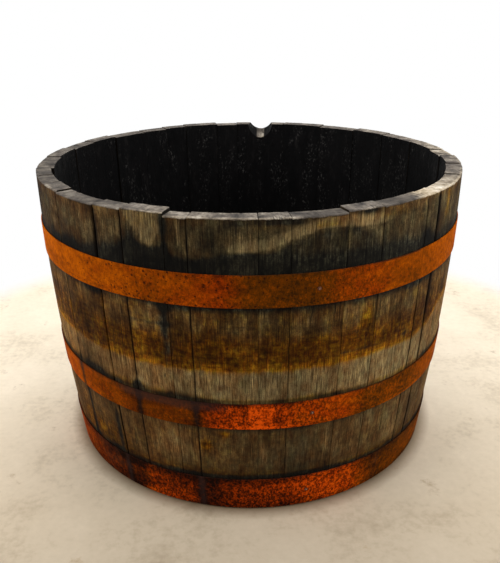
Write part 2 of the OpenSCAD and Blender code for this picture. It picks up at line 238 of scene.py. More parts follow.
# Round marks: a strength, an angle, a height, a half width in degrees and a half height
SPOTS = {
    "upper dark": [
        (.35, 33, 443, 2.5, 5), (.9, 26.5, 448.5, 3.4, 4.5), (-.3, -3, 416, 3, 9),
        (.45, -49.3, 425, 2.2, 22), (.4, -58.4, 438, .9, 14), (.3, -58.5, 402, 2.5, 12),
        (.6, 43.2, 433, 1.2, 4), (.46, -43, 416, 5, 10), (.36, -34, 415, 4, 10),
        (-.38, -15.5, 441, 2.4, 13), (-.4, -15.4, 403, 2.6, 9), (.36, -10, 418, 3.2, 9),
        (-.4, -10, 402, 3.4, 6), (-.16, 13, 414, 4, 12), (.16, 34, 388, 6, 9)],
    "upper warm": [
        (.3, 17, 438, 4, 7), (.3, 34, 440, 4, 9), (.25, -35, 436, 6, 9), (.35, -17.6, 447, 1.3, 5),
        (.4, 43, 421, 2.2, 9)],
    "upper pale": [
        (.3, -3, 416, 3.5, 9), (.25, -56, 422, 3, 22), (.4, 47.6, 443, 1.8, 9), (.35, -54, 431, 2, 7),
        (.25, -53.5, 405, 2.5, 10), (.3, -41, 436, 3.5, 10), (.6, -17.6, 447, 1, 4),
        (.35, -43, 446, 5, 8), (.2, -15.5, 441, 2.4, 12), (.25, -33, 447, 4, 5), (.3, 34, 447, 4, 6),
        (.3, 43, 443, 5, 10), (-.25, 26, 447, 4, 5)],
    "upper grey": [(.25, -6, 430, 6, 20)],
    "middle dark": [
        (.45, -45, 212, 6.5, 26), (.32, -54, 306, 8, 26), (.5, -40, 328, 3, 9), (.2, 42, 316, 8, 20),
        (.5, -16.2, 214, 2.4, 24), (-.1, -12, 294, 5, 16), (.9, -28.8, 200, 1.3, 10),
        (.5, -51.5, 226, .8, 5)],
    "middle warm": [(.5, 27.6, 300, 2, 26), (.45, -60, 275, 6, 22), (.2, -47, 290, 3, 30)],
    "middle pale": [
        (-.6, -46, 212, 7, 28), (.35, -35.2, 215, 1.3, 24), (-.6, -16, 216, 2.4, 24),
        (-.4, -40, 216, 2.8, 20), (.18, -12, 294, 5, 14), (.2, 16, 308, 4, 14), (.2, -22, 228, 5, 14),
        (.35, -59, 215, 4, 30), (.3, -35.5, 252, 1.4, 20), (.3, -24, 225, 3, 20),
        (.5, 27.6, 304, 1.5, 24), (.3, 21.4, 316, .7, 14), (-.8, -28.8, 197, 1.4, 12)],
    "lower dark": [
        (.3, -40, 110, 3, 45), (.22, -33, 86, 4, 18), (.12, -14, 92, 5, 14), (.14, 8, 88, 8, 15),
        (.2, 25, 84, 4, 15), (.2, 33.5, 132, 3.5, 22), (-.2, 40.6, 84, 3, 20), (.26, 54, 112, 5, 40),
        (.12, 47, 125, 2.5, 20)],
    # The small strong marks of the lower zone are ochre lichen
    "lower warm": [
        (.75, -6.4, 138, 1.3, 5), (.7, -11.4, 116, 1.6, 9), (1, -47, 83, 1.7, 9), (.4, -54, 84, 6, 32),
        (.38, -41, 80, 6, 30)],
    "lower pale": [
        (.35, 2.8, 105, .8, 13), (.3, -21, 112, 6, 26), (.3, -46.6, 122, 3, 30), (.3, 40.6, 84, 3, 20),
        (.45, -6.4, 138, 1.1, 4.5), (.3, -11.4, 116, 1.4, 8), (.8, -47, 83, 1.6, 8)],
    "lower grey": [(-.6, -47, 83, 2, 10)]}

# Upright marks: a strength, an angle, a half width, two heights and how soft the ends are
BARS = {
    "upper dark": [
        (.85, -18.4, .9, 385, 455, 8), (.35, -48, 4, 380, 420, 8), (-.35, 21.6, .5, 405, 428, 5)],
    "upper warm": [(.5, 55.5, 1.8, 400, 452, 8)],
    "upper pale": [(.5, 55.5, 1.5, 405, 452, 8), (.55, -15.1, .35, 411, 446, 3)],
    "middle dark": [
        (.42, -19.6, 1.3, 196, 262, 12), (.35, -28.9, .35, 210, 335, 8), (.35, -51.4, .7, 196, 240, 8)],
    "middle pale": [(.35, -46, .9, 304, 328, 4), (-.35, -19.3, 1.6, 196, 335, 8)],
    "lower dark": [
        (.6, -38.2, 1.1, 60, 140, 8), (.85, -50.9, 1, 60, 148, 8), (.35, 51, 1.2, 62, 130, 8),
        (.3, 44.7, .5, 60, 150, 8)],
    "lower pale": [(.3, -13.2, .7, 62, 130, 8), (.25, 19.7, .9, 100, 146, 8)]}

# The water lines dried into the brown tide: curve, height, half height, strength and seed
WATER_LINES = [("low line", 257.5, 1.6, .6, 26), ("high line", 303, 1.6, .5, 27),
               ("mid line", 286, 2.4, .55, 28)]

# The three zones of stain meet under the bilge hoop and under the quarter hoop
UPPER_ZONE, LOWER_ZONE = 358.0, 170.0


class WoodPoints:
    """Points on the outside of the staves, with the curves, marks and noise at them."""

    def __init__(self, th, z):
        self.th, self.z = th, z
        self.grey = self.curve("grey")
        # The sides are more blotched than the front
        self.flank = smooth(np.abs(wrap(th)), 28, 46)

    def noise(self, across, up, seed):
        return round_noise(self.th, self.z, across, up, seed)

    def curve(self, key):
        return along(self.th, CURVES[key])

    def bar(self, angle, wide, low, high, soft):
        ends = smooth(self.z, low - soft, low + soft) * smooth(self.z, high + soft, high - soft)
        return hump(wrap(self.th - angle), 0, wide) * ends

    def marks(self, key):
        """The sum of a zone's spots and bars in one field."""
        total = sum(k * self.bar(*where) for k, *where in BARS.get(key, ()))
        for k, angle, height, wide, high in SPOTS.get(key, ()):
            total = total + k * hump(wrap(self.th - angle), 0, wide) * hump(self.z, height, high)
        return total


def upper_stains(p):
    """Above the bilge hoop: black water stain, with a pale tide mark over it."""
    th, z, n, curve = p.th, p.z, p.noise, p.curve
    damp, top, blur = curve("damp"), curve("damp top") + 4 * n(60, 90, 11), 9 * curve("damp blur")
    above = z - curve("streak top") - 3 * n(40, 60, 12)
    streak = np.where(above > -1, hump(above, -1, 10), smooth(above, -7, -1)) * curve("streak")
    # A pale patch left of the middle that narrows to a point over the hoop
    off = np.abs(wrap(th + 21.8 + (z - 406) / 42))
    vee = smooth(.125 * (z - 404) - off + .5 * n(6, 14, 16), -.25, .35)
    edge = top + 2 + 3 * n(5, 160, 17)
    dark = damp * smooth(z, edge + blur, edge - blur) * (1 - .8 * streak) + curve("upper dark")
    dark += .3 * smooth(n(70, 60, 13), .1, .6) - .3 * np.maximum(n(7, 40, 19), 0)
    dark += .75 * smooth(z, 436, 443) * curve("rim dark")
    dark += .75 * smooth(z, 438, 424) * hump(wrap(th + 26.6), 0, 2.6) * (1 - vee)
    # The stain is blackest just above the hoop
    dark += .2 * smooth(z, 412, 384) - .14 * smooth(z, 386, 414) * smooth(z, 438, 420)
    dark += p.marks("upper dark") + .58 * p.flank * n(24, 26, 34)
    warm = .2 + .25 * n(60, 50, 15) + .06 * vee + .35 * smooth(z, 390, 383) + p.marks("upper warm")
    warm -= .5 * damp * smooth(z, top + 6, top - 10)
    warm -= .36 * smooth(z, 437, 426) * smooth(z, 392, 400) * curve("less warm")
    pale = .08 + (.9 + .45 * n(9, 14, 18)) * vee + 1.2 * streak + .26 * n(30, 70, 14)
    pale += .3 * smooth(z, 424, 436) * curve("rim pale")
    pale += p.marks("upper pale") + .46 * p.flank * n(20, 22, 35)
    grey = p.grey + .36 + .4 * vee + .5 * streak * smooth(th, 20, 12) - .3 * smooth(z, 434, 444)
    return dark, warm, pale, grey + p.marks("upper grey")


def middle_stains(p):
    """Between the bilge and quarter hoops: grey-brown, a brown tide with an ochre fringe, then pale."""
    th, z, n, curve = p.th, p.z, p.noise, p.curve
    edge = curve("tide edge") + 4 * n(30, 900, 21) + 2.5 * n(9, 900, 22) + 2 * n(2.6, 900, 20)
    dark = .06 + .24 * smooth(n(26, 22, 25), 0, .7) - .3 * smooth(z, edge + 4, edge - 4)
    dark += .1 * smooth(z, edge + 14, edge + 24) * smooth(z, 305, 292)
    for key, height, half, strength, seed in WATER_LINES:
        dark += strength * hump(z, height + 2.2 * n(45, 900, seed), half) * curve(key)
    dark += (.6 + .4 * n(8, 20, 29)) * p.bar(-19.4, 1.5, 262, 335, 8)
    dark += p.marks("middle dark") + .24 * p.flank * n(16, 20, 36)
    # Dirt washed against the quarter hoop, highest at the left; under the bilge hoop a dark band that is
    # painted shade from the hoop together with dirt
    dirt = hump(z, 192, curve("dirt height"))
    dark += 1.05 * dirt + .9 * smooth(z, 317, 335) * curve("shade and dirt under bilge")
    warm = .1 + smooth(z, edge - 7, edge + 6) * (1 - .66 * smooth(z, 262, 302)) + .3 * n(34, 26, 24)
    warm += p.marks("middle warm") + .5 * dirt + .3 * hump(z, 258, 14) * smooth(th, -25, -36)
    pale = .1 + .95 * smooth(z, edge + 5, edge - 5) + .66 * curve("fringe") * hump(z, edge + 5.5, 8)
    pale += .3 * smooth(z, 296, 312) + .3 * n(18, 80, 23) * (1 - .5 * hump(z, 268, 18))
    grey = p.grey * (smooth(z, edge + 8, edge - 8) + .8 * smooth(z, 280, 306)) + .14
    return dark, warm, pale + p.marks("middle pale"), grey


def lower_stains(p):
    """Under the quarter hoop: grimier grey-brown, darkest against the head hoop, with lichen."""
    z, n = p.z, p.noise
    at_hoop = hump(z, 60, 4)
    # Just under the quarter hoop the wood is darker, painted shade from the hoop together with dirt;
    # against the head hoop it is dirt
    dark = p.curve("lower dark") + .22 * n(30, 50, 31) + .3 * smooth(z, 138, 148) + .3 * at_hoop
    dark += .55 * hump(z, 59, 4) + .15 * smooth(z, 90, 62)
    dark += p.marks("lower dark") + .26 * p.flank * n(14, 26, 37)
    warm = .3 + .2 * n(45, 40, 33) + .25 * smooth(z, 84, 62) + .5 * at_hoop + .1 * hump(z, 60, 6)
    pale = .34 + .2 * n(20, 70, 32) - .25 * smooth(z, 88, 60) + .24 * p.flank * n(13, 24, 38)
    grey = .8 * p.grey + .08
    return dark, warm + p.marks("lower warm"), pale + p.marks("lower pale"), grey + p.marks("lower grey")


def stain_fields(th, z):
    """How dark, warm, pale and grey the outside of the wood is at an angle and a height, 0 to 1.2."""
    p = WoodPoints(th, z)
    upper = smooth(z, UPPER_ZONE - 2, UPPER_ZONE + 2)
    lower = smooth(z, LOWER_ZONE + 2, LOWER_ZONE - 2)
    middle = (1 - upper) * (1 - lower)
    return [np.clip(upper * u + middle * m + lower * lo, 0, 1.2)
            for u, m, lo in zip(upper_stains(p), middle_stains(p), lower_stains(p))]


# ---- staves ----

def stave_thickness(z, thickness):
    """Thickness of the wood at a height: the bevelled chime, the croze groove and the howel."""
    groove = np.interp(np.abs(z - CROZE_Z), [CROZE_FLOOR, CROZE_MOUTH], [CROZE_DEPTH, 0])
    howel = STAVE_T - HOWEL_DEPTH + np.maximum(z - HOWEL_Z, 0) / 2.5
    chime = CHIME_LAND + (thickness + HOWEL_DEPTH - CHIME_LAND) * z / CHIME_H
    return np.minimum(np.minimum(thickness, howel), chime) - groove


def stave_lines(width, thickness, height):
    """Grid lines across, through and up a stave, with a line at each bend of its inner face."""
    s_lines = spread(width, 2.6)
    d_lines = spread(thickness, 3.2, (0, .5, 1.2, 2.2))
    z_lines = spread(height, 5.5)
    croze = CROZE_Z + np.array([-4.88, -CROZE_FLOOR, 0, CROZE_FLOOR, 4.88])
    bends = np.concatenate([croze, [CHIME_H, HOWEL_Z]])
    keep = np.abs(z_lines[:, None] - bends).min(1) > 1.8
    return s_lines, d_lines, np.sort(np.concatenate([z_lines[keep], bends]))


def cut_bung_hole(z, s0, d0, mid, height, seed):
    """Lower the rim of the bung stave to what is left of its slanted bung hole, centred on mid."""
    base = 400
    off = np.clip(np.abs(s0 - mid) / BUNG_R, 0, 1)
    slope = math.radians(BUNG_SLOPE)
    dip = TUB_H + BUNG_RISE - math.tan(slope) * d0 - BUNG_R / math.cos(slope) * np.sqrt(1 - off ** 2)
    dip = dip + (.5 + .7 * noise(s0 / 4, d0 / 6, 3, seed)) * (1 - off)
    top = np.where(off < 1, np.minimum(dip, height), height)
    return np.where(z > base, base + (z - base) * (top - base) / (height - base), z), top, off


def make_stave(i, start, span, material):
    name = "bung_stave" if i == 0 else f"stave_{i + 1:02d}"
    count = len(STAVE_W)
    gap = [SEAM + (OPEN_SEAM if k % count in OPEN_STAVES else 0) for k in (i, i + 1)]
    a0 = start + math.degrees(gap[0] / RIM_R) / 2
    a1 = start + span - math.degrees(gap[1] / RIM_R) / 2
    width = math.radians(a1 - a0) * RIM_R
    thickness, height = STAVE_T + THICK_STEP[i], TUB_H + RIM_STEP[i]
    s_lines, d_lines, z_lines = stave_lines(width, thickness, height)
    if i == 0:
        mid = math.radians(BUNG_ANGLE - a0) * RIM_R
        turn = np.linspace(0, math.pi, 25)
        s_lines = s_lines[np.abs(s_lines - mid) > BUNG_R + .6]
        s_lines = np.sort(np.concatenate([s_lines, mid + BUNG_R * np.cos(turn)]))
    s0, d0, z0, quads = box_lattice(s_lines, d_lines, z_lines)
    seed = 100 + 17 * i
    outer = 1 - d0 / thickness
    on_inner, on_side, on_rim = d0 == thickness, (s0 == 0) | (s0 == width), z0 == height

    # Worn edges: the outer long edges most, with nicks, and both edges of the rim
    nick = np.maximum(noise(s0 / 400, i * 3.1, z0 / 14, seed), 0) ** 2
    seam = np.where(s0 < width / 2, i, i + 1) % count
    grubby = np.array(SEAM_DIRT)[seam]
    rough = noise(s0 / width, i, z0 / 60, seed + 1)
    wear = .6 + outer * (1.3 * grubby - .3 + (.3 + .5 * grubby) * rough + 2 * grubby * nick)
    gaping = np.where(seam == OPEN_STAVES[0], smooth(z0, 350, 390),
                      (seam == OPEN_STAVES[1]) * smooth(z0, 205, 320))
    wear = wear + outer * gaping * (1.6 + 1.2 * noise(s0 / width, i, z0 / 35, seed + 15))
    at_rim = smooth(z0, height - 9, height - 2)
    rim_wear = 1.5 + .9 * noise(s0 / 9, d0 / 40, i, seed + 2) + .5 * noise(s0 / 3, d0 / 40, i, seed + 3)
    wear = np.clip(wear * (1 - at_rim) + rim_wear * at_rim, .5, 4.5)
    wear = np.where(z0 < 6, np.minimum(wear, 1.6), wear)
    s, d, z = rounded((s0, d0, z0), (width, thickness, height), wear)

    # Relief along the grain outside, char inside, saw marks and chips on the rim
    relief = .3 * fbm(s0 / 22, i * 5, z0 / 140, seed + 4) + .22 * fbm(s0 / 4.5, i * 5, z0 / 90, seed + 5)
    relief = np.clip(.3 + relief, .05, 2) * outer
    char = .5 * fbm(s0 / 7, i * 5, z0 / 11, seed + 6) + .35 * fbm(s0 / 24, i * 5, z0 / 60, seed + 7)
    d = d + relief * (d0 < 4) + (char - .85) * on_inner
    saw = .35 + .35 * fbm(s0 / 14, d0 / 9, i, seed + 8) + .16 * noise(s0 / 3, d0 / 3, i, seed + 9)
    chip = np.maximum(noise(s0 / 7, i * 9, 0, seed + 10) - .35, 0) * 5 * outer ** 3 * (d0 < 6)
    z = z - (np.clip(saw, 0, 1.2) + chip) * on_rim
    if i == 0:
        z, top, off = cut_bung_hole(z, s0, d0, mid, height, seed + 11)

    radius = outer_r(z) - d / thickness * stave_thickness(np.clip(z0, 0, height), thickness)
    # Behind its outer third each seam closes, so that no light shows through it
    shut = smooth(d0, .3 * thickness, .55 * thickness) * smooth(z0, height - 2, height - 8)
    shut = shut * np.where(s0 == 0, .01 - gap[0] / 2, np.where(s0 == width, gap[1] / 2 - .01, 0))
    angle = np.radians(a0 + (s + shut) / width * (a1 - a0))
    co = np.stack([radius * np.cos(angle), radius * np.sin(angle), z], -1)

    # What the material reads: stains and tone, then dirt in the seams, the sawn ends and the char
    th = wrap(np.degrees(angle) + 90)
    dark, warm, pale, grey = stain_fields(th, z)
    tone = STAVE_TONE[i] + .07 * noise(s0 / 30, i * 7, z0 / 200, seed + 12)
    tone = tone + .06 * noise(s0 / 25, i, z0 / 45, seed + 16)
    tone = tone * np.where(z > UPPER_ZONE, along(th, CURVES["upper tone"]), 1)
    reach = 1.7 + 4.5 * gaping
    dirt = SEAM_DIRT[i] * np.exp(-s / reach) + SEAM_DIRT[(i + 1) % count] * np.exp((s - width) / reach)
    dirt = dirt * (1 - .7 * (seam == OPEN_STAVES[0]) * smooth(z0, 180, 200) * smooth(z0, 375, 340))
    dirt = np.clip(dirt * (.75 + .5 * noise(s0 / 60, i, z0 / 25, seed + 13)), 0, 1)
    dirt = np.where((d0 > 1.5) & on_side, 1, dirt) * (1 - .7 * at_rim * (d0 < 2))
    arris = smooth(z, height - 3.2 - 1.6 * noise(s0 / 4, i, 1, seed + 14), height - .8) * (d0 < 3)
    end = np.maximum(on_rim | (z0 == 0), arris)
    pale = np.where((z > height - 14) & (end > .3), along(th, CURVES["rim worn"]), pale)
    charred = np.clip(on_inner - end, 0, 1)
    if i == 0:
        charred = np.where(on_rim & (top < height - 1), .3 + .45 * (off > .3), charred)
    # Each stave takes its grain from a place of its own in the noise
    shift = 1000.0 * lattice_hash(i, 2, 7, 1) + 400 * i
    grain = s0 + shift, d0, z0 + 130 * (i % 7)
    # How evened out the grain's contrast is: most under the quarter hoop
    calm = .34 * smooth(z, LOWER_ZONE + 2, LOWER_ZONE - 2) + .2 * hump(z, 258, 22)
    obj = make_mesh(f"{name}_wood", co, quads, material, {
        "grain": grain, "stain": (dark, warm, pale, tone), "face": (end, charred, dirt, arris),
        "grey": (grey, calm, 0, 0)})
    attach(obj, "root")
    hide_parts(name)


# ---- hoops ----

# Rust round each hoop: how bright, yellow, pitted, scabby and purple it is, and how much grime lies
# along its upper edge, as {angle: value} points
# The bright curves rise towards the sides of the tub partly as painted side light, on top of the rust's
# own colour
RUST = {
    "bilge_hoop": {
        "bright": {-180: .7, -120: .66, -75: .86, -58: .84, -50: .77, -42: .71, -30: .64, -22: .62,
                   -11: .57, -4: .51, 0: .43, 13: .45, 19: .55, 26: .56, 44: .65, 50: .71, 55: .78,
                   100: .78, 140: .65},
        "yellow": {-180: .5, -60: .95, -40: .8, -22: .7, -12: .55, -6: .35, -1: .7, 3: 1, 14: 1, 19: .6,
                   28: .5, 36: .75, 44: .85, 56: .95, 110: .6},
        "pits": {-180: .4, -60: .15, -38: .35, -30: .8, -6: .85, 0: .6, 16: .45, 30: .3, 50: .12,
                 110: .3},
        "scabs": {-180: .3, -40: .15, -12: .25, -5: .3, 0: .3, 18: .35, 26: .45, 36: .2},
        "purple": {0: 0},
        "grime": {-180: .5, -62: .3, -43: 0, -12: .2, -2: .9, 26: .9, 32: 1.3, 42: 1.3, 46: .5, 52: 0,
                  70: .2}},
    "quarter_hoop": {
        "bright": {-180: .5, -110: .45, -62: .72, -50: .7, -42: .61, -36: .57, -30: .5, -26: .46,
                   -14: .46, -12: .5, -8: .58, -.6: .58, -.2: .75, 5.6: .73, 6: .55, 14: .64, 25: .65,
                   30: .47, 44: .52, 58: .68, 120: .5},
        "yellow": {-180: .4, -50: .65, -35: .62, -14: .6, -8: .15, 5: .1, 12: .35, 26: .55, 34: .85,
                   60: .85},
        "pits": {-180: .4, -50: .25, -14: .25, -8: .5, 10: .5, 22: .3, 60: .2},
        "scabs": {-180: .5, -50: .15, -16: .2, -8: .8, -1: 1, 6: .9, 14: .8, 24: .4, 28: .55, 44: .5,
                  56: .15},
        "purple": {-180: .4, -58: .2, -50: .5, -46: .3, -36: .35, -32: .95, -10: 1, -5: .3, -1: 0, 28: 0,
                   35: .4, 42: 0, 120: .3},
        "grime": {0: 1}},
    "head_hoop": {
        "bright": {-180: .35, -100: .35, -66: .62, -59: .52, -52: .4, -45: .28, -37: .2, -31: .3,
                   -29: .46, -22: .38, -16: .34, -14: .15, -9.5: .18, -7: .48, 10: .54, 20: .68, 28: .66,
                   35: .42, 40: .4, 47: .47, 60: .45, 120: .35},
        "yellow": {-180: .3, -50: .4, -30: .3, -8: .1, 12: .2, 28: .35, 38: .7, 60: .75},
        "pits": {-180: .5, -40: .35, -8: .6, 30: .5, 45: .3},
        "scabs": {-180: .7, -50: .3, -34: .6, -28: .9, -16: .8, -8: .9, 8: 1, 30: .8, 36: .5, 50: .3},
        "purple": {-180: .5, -70: 0, -60: .1, -52: .3, -46: .5, -40: .35, -30: 0, -17: .1, -14: .3,
                   -9: .3, -6: 0, 32: 0, 38: .5, 42: 0, 120: .3},
        "grime": {0: 1}}}

# Brighter and darker lengths near a hoop's edges: a strength, where in the strip's width it starts and
# is whole (0 is the lower edge, 1 the upper), and {angle: value} points
RUST_EDGES = {
    "quarter_hoop": (
        (-.13, .48, .85, {-180: .4, -45: .1, -36: .2, -32: 1, -12: 1.2, -6: 1, -2: 0, 28: 0, 34: .6,
                          42: 0, 120: .5}),
        (.12, .22, .06, {-180: 0, -44: 0, -41: -1, -37: -.8, -33: 0, -14: 0, -8: 1, 9: 1, 13: -.9,
                         29: -.6, 35: .4, 40: 1.3, 50: .9, 56: 0}),
        (-.26, .84, .97, {-180: 0, -18: .3, -9: .8, -3: 1, 9: .9, 14: 0})),
    "head_hoop": (
        (-.25, .7, .95, {-180: 1, -64: .1, -48: .4, -36: 1, -8: 1, 14: .6, 20: 0, 40: .4}),
        (-.17, .22, .03, {-180: .3, -12: .2, -4: .6, 12: 1, 28: 1, 33: .1, 42: .6, 58: 1}),
        (.16, .34, .12, {-180: 0, -33: 0, -30: 1, -18: .8, -14: 0}))}


def rust_fields(name, th, w):
    """How bright (partly painted side light), yellow, pitted, scabby and purple a hoop's rust is; w runs
    up the strip from 0 to 1.
    """
    keys = ("bright", "yellow", "pits", "scabs", "purple")
    bright, yellow, pits, scabs, purple = [along(th, RUST[name][key]) for key in keys]
    for strength, start, whole, points in RUST_EDGES.get(name, ()):
        bright = bright + strength * smooth(w, start, whole) * along(th, points)
    # The quarter hoop is purple in its upper half alone
    if name == "quarter_hoop":
        purple = purple * smooth(w, .48, .85)
    return bright, yellow, pits, scabs, purple


def make_hoop(name, material):
    z_low, width, lap, seed = HOOPS[name]
    mid_r = float(outer_r(z_low + width / 2)) + HOOP_FIT
    lap_turn, gap_turn, step_turn = [math.degrees(v / mid_r) for v in (LAP_LEN, LAP_GAP, LAP_STEP)]
    first = lap - lap_turn / 2
    length = math.radians(360 + lap_turn - gap_turn / 2) * mid_r
    s_lines = spread(length, 3.0, (0, .5, 1.3))
    t_lines = np.array([0, .35, .8, 1.25, HOOP_T])
    s0, t0, w0, quads = box_lattice(s_lines, t_lines, spread(width, 3.0, (0, .35, .9, 2)))
    # t runs in from the outer face, as d does on a stave
    s, t, w = rounded((s0, t0, w0), (length, HOOP_T, width), .45)
    angle = first + gap_turn / 2 + np.degrees(s / mid_r)
    over = angle - (first + 360 - gap_turn - step_turn)
    lift = (HOOP_T + LAP_FIT) * smooth(over, 0, step_turn)
    th = wrap(angle + 90)

    # Wavy edges, a narrower end where it lifts over itself, and a pitted outer face
    edge_wave = .35 * round_noise(th, 0, 60, 1, 41) + .18 * round_noise(th, 0, 12, 1, 42)
    edge_wave = np.clip(edge_wave + .3, 0, 1)
    wide = 1 - (2 * edge_wave + .7 * smooth(lift, .2, 1.6)) / width
    w = (w - width / 2) * wide + width / 2
    pits = .5 * np.maximum(fbm(s0 / 5, 0, w0 / 5, seed, 2) - .2, 0)
    pits = pits + .05 + .05 * fbm(s0 / 30, 0, w0 / 30, seed + 2)
    t = t + np.where(t0 == 0, np.clip(pits, 0, .45), 0)
    z = z_low + w
    cone = outer_r(z_low) + (outer_r(z_low + width) - outer_r(z_low)) * w / width
    radius = cone + HOOP_FIT + HOOP_T - .05 - t + lift
    a = np.radians(angle)
    co = np.stack([radius * np.cos(a), radius * np.sin(a), z], -1)

    bright, yellow, pitted, scabs, purple = rust_fields(name, th, w0 / width)
    bright = bright + .14 * round_noise(th, z, 50, 30, seed + 5)
    # Dark drips where the dirtiest seams run under the hoop, and grime along both edges
    for drip in DRIPS.get(name, ()):
        mark = hump(wrap(th - drip), 0, .9)
        bright, purple = bright - .38 * mark, purple + .57 * mark
    grime = .7 * smooth(w0, width - 4, width) * along(th, RUST[name]["grime"])
    grime = np.clip(grime + .45 * smooth(w0, 3, 0), 0, 1)
    obj = make_mesh(f"{name}_steel", co, quads, material, {
        "strip": (s0 + 40 * seed, t0, w0), "rust": (np.clip(bright, 0, 1), yellow, pitted, grime),
        "crust": (scabs, np.clip(purple, 0, 1), 0, 0)})
    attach(obj, "root")
    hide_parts(name)


# ---- materials ----

def lin(*rgb):
    """A colour written as 0-255 sRGB, as the shader's linear RGBA."""
    return tuple((c / 255 / 12.92 if c <= 10 else ((c / 255 + .055) / 1.055) ** 2.4) for c in rgb) + (1,)


class Net:
    """A short way to write a material's nodes. place is the vector that its noises read."""

    def __init__(self, name):
        self.mat = bpy.data.materials.new(name)
        self.mat.use_nodes = True
        self.tree = self.mat.node_tree
        self.tree.nodes.clear()
        out = self.tree.nodes.new("ShaderNodeOutputMaterial")
        self.bsdf = self.tree.nodes.new("ShaderNodeBsdfPrincipled")
        self.tree.links.new(self.bsdf.outputs[0], out.inputs[0])
        self.place = None

    def put(self, socket, value):
        if isinstance(value, bpy.types.NodeSocket):
            self.tree.links.new(value, socket)
        else:
            socket.default_value = value

    def node(self, kind, out=0, inputs=(), **settings):
        n = self.tree.nodes.new("ShaderNode" + kind)
        for k, v in settings.items():
            setattr(n, k, v)
        for k, v in dict(inputs).items():
            self.put(n.inputs[k], v)
        return n.outputs[out]

    def math(self, operation, a, b=0.0, c=0.0):
        return self.node("Math", 0, {0: a, 1: b, 2: c}, operation=operation)

    def add(self, a, b):
        return self.math("ADD", a, b)

    def mul(self, a, b):
        return self.math("MULTIPLY", a, b)

    def vary(self, value, noise, reach):
        """The value moved up and down by a noise."""
        return self.add(value, self.mul(self.add(noise, -.5), reach))

    def blend(self, *parts):
        """The sum of (value, weight) pairs."""
        total = 0.0
        for value, weight in parts:
            total = self.math("MULTIPLY_ADD", value, weight, total)
        return total

    def attribute(self, name, out="Color"):
        return self.node("Attribute", out, attribute_name=name, attribute_type="GEOMETRY")

    def channels(self, name):
        """The four channels of a colour attribute."""
        n = self.tree.nodes.new("ShaderNodeSeparateColor")
        self.put(n.inputs[0], self.attribute(name))
        return [*n.outputs, self.attribute(name, "Alpha")]

    def scaled(self, vector, scale):
        return self.node("VectorMath", 0, {0: vector, 1: scale}, operation="MULTIPLY")

    def noise(self, scale, detail=4, rough=.6, warp=0.0):
        return self.node("TexNoise", "Fac", {"Vector": self.scaled(self.place, scale), "Scale": 1.0,
                                             "Detail": detail, "Roughness": rough, "Distortion": warp})

    def ease(self, value, low, high, to=(0.0, 1.0)):
        return self.node("MapRange", 0, {0: value, 1: low, 2: high, 3: to[0], 4: to[1]},
                         interpolation_type="SMOOTHSTEP")

    def ramp(self, factor, *stops):
        """Colours between stops, each a place from 0 to 1, a red, a green and a blue."""
        n = self.tree.nodes.new("ShaderNodeValToRGB")
        self.put(n.inputs[0], factor)
        while len(n.color_ramp.elements) < len(stops):
            n.color_ramp.elements.new(1.0)
        for element, (place, *colour) in zip(n.color_ramp.elements, stops):
            element.position, element.color = place, lin(*colour)
        return n.outputs[0]

    def mix(self, factor, a, b, how="MIX"):
        n = self.tree.nodes.new("ShaderNodeMix")
        n.data_type, n.blend_type = "RGBA", how
        self.put(n.inputs[0], factor)
        self.put(n.inputs[6], a)
        self.put(n.inputs[7], b)
        return n.outputs[2]

    def times(self, a, b):
        return self.mix(1.0, a, b, "MULTIPLY")

    def bump(self, height, distance, strength=1.0):
        return self.node("Bump", 0, {"Height": height, "Distance": distance, "Strength": strength})

    def finish(self, colour, rough, normal, specular):
        for key, value in (("Base Color", colour), ("Roughness", rough), ("Normal", normal),
                           ("Specular IOR Level", specular)):
            self.put(self.bsdf.inputs[key], value)
        return self.mat


